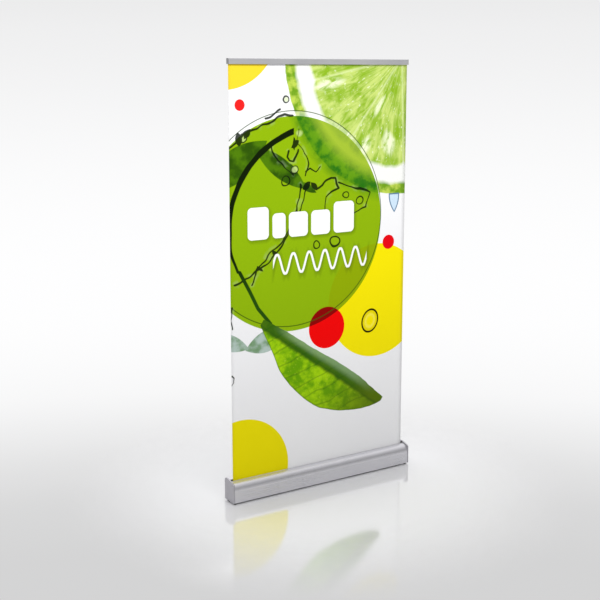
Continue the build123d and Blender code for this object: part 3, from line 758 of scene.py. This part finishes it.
film = {"thickness": 0.0004, "curl": 0.0012, "acrossSteps": 40, "upSteps": 96,
        "backTones": (ink(202, 203, 205), ink(212, 213, 214)), "backRough": (0.4, 0.5)}
leader = {"turns": 3.0, "pitch": 1.15,   # pitch in film thicknesses, so a hair of air is left
          "tones": (ink(196, 198, 200), ink(214, 215, 217)), "rough": (0.35, 0.45),
          "acrossSteps": 8, "aroundSteps": 144}
sheetLow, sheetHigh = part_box("banner_sheet")
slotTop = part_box("front_slot_strip")[1].z
woundLow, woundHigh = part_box("wound_film")
rollerY, rollerZ = (woundLow.y + woundHigh.y) / 2, (woundLow.z + woundHigh.z) / 2


def makeBanner():
    # across and up are the two parameters; y bows back by curl * |across|^6 * sin(pi * share), where share
    # runs from the slot to the lowest place that ends up inside the rail once it is right down
    width, height = sheetHigh.x - sheetLow.x, sheetHigh.z - rollerZ
    travel = next(j for j in frame["joints"] if j["name"] == "rail_slide")["range_m"][1]
    keep = 1 - travel / height
    flatFrom = rollerZ + (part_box("rail_jaw")[0].z - travel - rollerZ) / keep
    acrossPlaces = np.linspace(-1, 1, film["acrossSteps"] + 1)
    across, up = np.meshgrid(acrossPlaces, np.linspace(0, 1, film["upSteps"] + 1))
    x = across * width / 2
    z = rollerZ + up * height
    share = np.clip((z - slotTop) / (flatFrom - slotTop), 0, 1)
    y = film["curl"] * np.abs(across) ** 6 * np.sin(np.pi * share)
    uv = np.stack([x - sheetLow.x, z - slotTop], -1)
    banner = surfaceFromGrid("banner_film", x, y, z, uv)
    back = plainFilm("filmBack", film["backTones"], film["backRough"])
    thicken(banner, film["thickness"], [filmMaterial(), back])
    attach(banner, "cassette")
    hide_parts("banner_sheet")
    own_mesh(banner)


def makeWoundFilm():
    # a spiral: radius = outer + angle / (2 pi) * pitch, with the angle running back from 0 turn by turn
    width, sweep = woundHigh.x - woundLow.x, leader["turns"] * math.tau
    outer = (woundHigh.z - woundLow.z) / 2 - film["thickness"] / 2
    pitch = film["thickness"] * leader["pitch"]
    acrossPlaces = np.linspace(-1, 1, leader["acrossSteps"] + 1)
    across, angle = np.meshgrid(acrossPlaces, np.linspace(-sweep, 0, leader["aroundSteps"] + 1))
    radius = outer + angle / math.tau * pitch
    x = across * width / 2
    y, z = rollerY + radius * np.cos(angle), rollerZ + radius * np.sin(angle)
    length = sweep * (outer - leader["turns"] * pitch / 2)
    uv = np.stack([x - x.min(), (angle / sweep + 1) * length], -1)
    wound = surfaceFromGrid("wound_leader", x, y, z, uv)
    surface = plainFilm("leaderFilm", leader["tones"], leader["rough"])
    thicken(wound, film["thickness"], [surface, surface])
    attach(wound, "roller")
    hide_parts("wound_film")


makeBanner()
makeWoundFilm()
print("film hung and wound")


floorLook = {
    "side": 60.0, "setBack": 10.0, "tint": (0.91, 0.91, 0.922, 1), "rough": 0.09, "metal": 0.5,
    "gloss": 0.8,
    "fade": (0.45, 1.3),          # the floor begins to fade here, in metres from the middle, and ends there
    "grain": 400.0, "grainPush": 8.0,
}


def layFloor(s):
    # a flat square set back a little, so that its diagonal passes well behind the stand
    half, back = s["side"] / 2, s["setBack"]
    x, y = np.meshgrid((-half, half), (back - half, back + half))
    floor = surfaceFromGrid("studio_floor", x, y, x * 0, np.stack([x, y], -1))
    material, tree, shader = startMaterial("studioFloor")
    shader.inputs["Base Color"].default_value = s["tint"]
    shader.inputs["Roughness"].default_value = s["rough"]
    shader.inputs["Metallic"].default_value = s["metal"]
    shader.inputs["Specular IOR Level"].default_value = s["gloss"]
    fade = tree.nodes.new("ShaderNodeMixShader")
    clear = tree.nodes.new("ShaderNodeBsdfTransparent")
    spot = stretched(tree, (1, 1, 1))
    soft = spread(gap(spot, (0.0, 0.0, 0.0)), *s["fade"])
    grain = noise(spot, s["grain"], 1.0) - 0.5
    # the floor fades in fine grains, so that no edge shows halfway
    feed(tree, fade.inputs[0], soft + soft * (1.0 - soft) * grain * s["grainPush"])
    tree.links.new(shader.outputs[0], fade.inputs[1])
    tree.links.new(clear.outputs[0], fade.inputs[2])
    tree.links.new(fade.outputs[0], tree.nodes["Material Output"].inputs["Surface"])
    floor.data.materials.append(material)


layFloor(floorLook)
print("floor laid")
